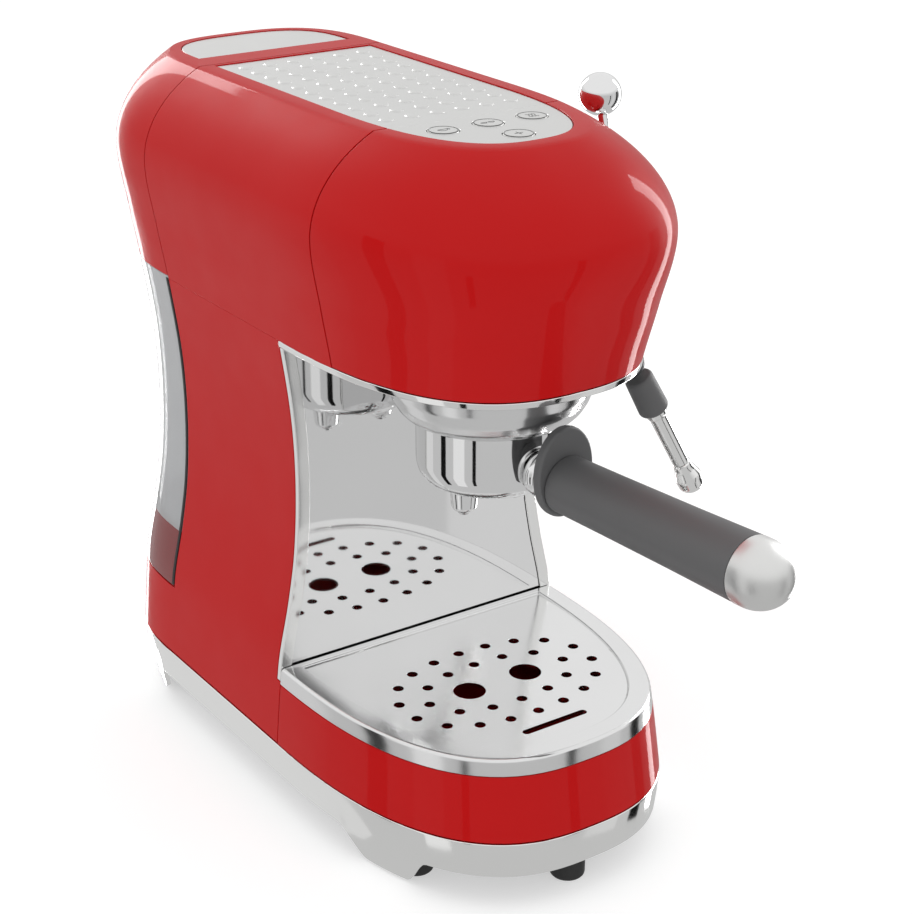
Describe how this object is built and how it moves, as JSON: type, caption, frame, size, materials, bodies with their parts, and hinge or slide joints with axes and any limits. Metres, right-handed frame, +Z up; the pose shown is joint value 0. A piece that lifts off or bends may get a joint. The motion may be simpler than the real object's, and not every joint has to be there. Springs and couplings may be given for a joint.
{
  "type": "espresso machine",
  "caption": "Compact retro pump espresso machine: rounded red housing, steel drip tray, turning portafilter, swinging steam wand and lift-out rear water tank.",
  "frame": {"origin": "middle of the machine's bounding box, on the counter", "axes": "+Z up, -Y is the front with the portafilter, +X is the machine's right seen from the front"},
  "size_m": [0.1784, 0.4132, 0.3316],
  "materials": {
    "red_paint": "high-gloss red enamel",
    "red_plastic": "high-gloss red plastic",
    "polished_steel": "polished steel, mirror-like",
    "satin_steel": "satin steel",
    "grey_grip": "dark grey soft-touch plastic",
    "black_rubber": "black rubber",
    "dark_plastic": "dark moulded plastic",
    "grey_plastic": "grey moulded plastic",
    "clear_plastic": "clear plastic",
    "aluminium": "cast aluminium",
    "silicone": "translucent silicone hose",
    "circuit_board": "green circuit board"
  },
  "bodies": {
    "housing": {"body_shell": "red_paint", "head_front_shell": "red_paint", "rear_sill": "red_paint", "base_skirt": "polished_steel", "back_panel": "polished_steel", "panel_trim_left": "polished_steel", "panel_trim_right": "polished_steel", "head_trim": "polished_steel", "brew_collar": "polished_steel", "head_underside": "satin_steel", "cup_plate": "satin_steel", "control_panel": "satin_steel", "shower_screen": "satin_steel", "foot_front_left": "black_rubber", "foot_front_right": "black_rubber", "foot_rear_left": "black_rubber", "foot_rear_right": "black_rubber", "foot_nose": "black_rubber", "group_gasket": "black_rubber", "pump_mount": "black_rubber", "power_inlet": "black_rubber", "bottom_cover": "dark_plastic", "tank_seat": "dark_plastic", "chassis_plate": "dark_plastic", "pump": "dark_plastic", "base_deck": "grey_plastic", "rear_bulkhead": "grey_plastic", "group_head": "aluminium", "boiler": "aluminium", "steam_valve": "aluminium", "steam_pipe": "aluminium", "suction_hose": "silicone", "pressure_hose": "silicone", "control_board": "circuit_board"},
    "portafilter": {"portafilter_cup": "polished_steel", "filter_basket": "satin_steel", "spout_left": "polished_steel", "spout_right": "polished_steel", "handle_neck": "polished_steel", "handle_flange": "grey_grip", "handle_grip": "grey_grip", "handle_cap": "satin_steel"},
    "steam_lever": {"steam_hub": "polished_steel", "steam_lever": "polished_steel", "steam_knob": "polished_steel"},
    "steam_wand": {"wand_pivot": "dark_plastic", "wand_grip": "grey_grip", "wand_tube": "polished_steel", "wand_tip": "satin_steel"},
    "drip_tray": {"drip_tray": "red_plastic"},
    "drip_cover": {"drip_cover": "polished_steel"},
    "tray_float": {"tray_float": "red_plastic"},
    "water_tank": {"water_tank": "clear_plastic", "tank_cap": "red_plastic", "tank_valve": "dark_plastic"},
    "tank_lid": {"tank_lid": "satin_steel"},
    "button_one_cup": {"button_one_cup": "satin_steel"},
    "button_two_cups": {"button_two_cups": "satin_steel"},
    "button_steam": {"button_steam": "satin_steel"},
    "button_program": {"button_program": "satin_steel"}
  },
  "joints": [
    {"name": "portafilter_turn", "type": "hinge", "parent": "housing", "child": "portafilter", "pos_m": [-0.00845, -0.03328, 0.185], "axis": [0, 0, 1], "range_deg": [-45, 0]},
    {"name": "steam_lever_turn", "type": "hinge", "parent": "housing", "child": "steam_lever", "pos_m": [0.07955, -0.00028, 0.291], "axis": [1, 0, 0], "range_deg": [0, 90]},
    {"name": "steam_wand_swing", "type": "hinge", "parent": "housing", "child": "steam_wand", "pos_m": [0.04655, -0.06078, 0.2213], "axis": [0, 0, 1], "range_deg": [-60, 60]},
    {"name": "drip_tray_slide", "type": "slide", "parent": "housing", "child": "drip_tray", "axis": [0, -1, 0], "range_m": [0, 0.15]},
    {"name": "drip_cover_lift", "type": "slide", "parent": "drip_tray", "child": "drip_cover", "axis": [0, 0, 1], "range_m": [0, 0.04]},
    {"name": "float_rise", "type": "slide", "parent": "drip_tray", "child": "tray_float", "axis": [0, 0, 1], "range_m": [0, 0.007]},
    {"name": "tank_lift", "type": "slide", "parent": "housing", "child": "water_tank", "axis": [0, 0, 1], "range_m": [0, 0.08]},
    {"name": "tank_lid_open", "type": "hinge", "parent": "water_tank", "child": "tank_lid", "pos_m": [-0.00845, 0.14622, 0.3286], "axis": [1, 0, 0], "range_deg": [0, 80]},
    {"name": "press_one_cup", "type": "slide", "parent": "housing", "child": "button_one_cup", "axis": [0, 0, -1], "range_m": [0, 0.0012], "stiffness_N_per_m": 800},
    {"name": "press_two_cups", "type": "slide", "parent": "housing", "child": "button_two_cups", "axis": [0, 0, -1], "range_m": [0, 0.0012], "stiffness_N_per_m": 800},
    {"name": "press_steam", "type": "slide", "parent": "housing", "child": "button_steam", "axis": [0, 0, -1], "range_m": [0, 0.0012], "stiffness_N_per_m": 800},
    {"name": "press_program", "type": "slide", "parent": "housing", "child": "button_program", "axis": [0, 0, -1], "range_m": [0, 0.0012], "stiffness_N_per_m": 800}
  ]
}
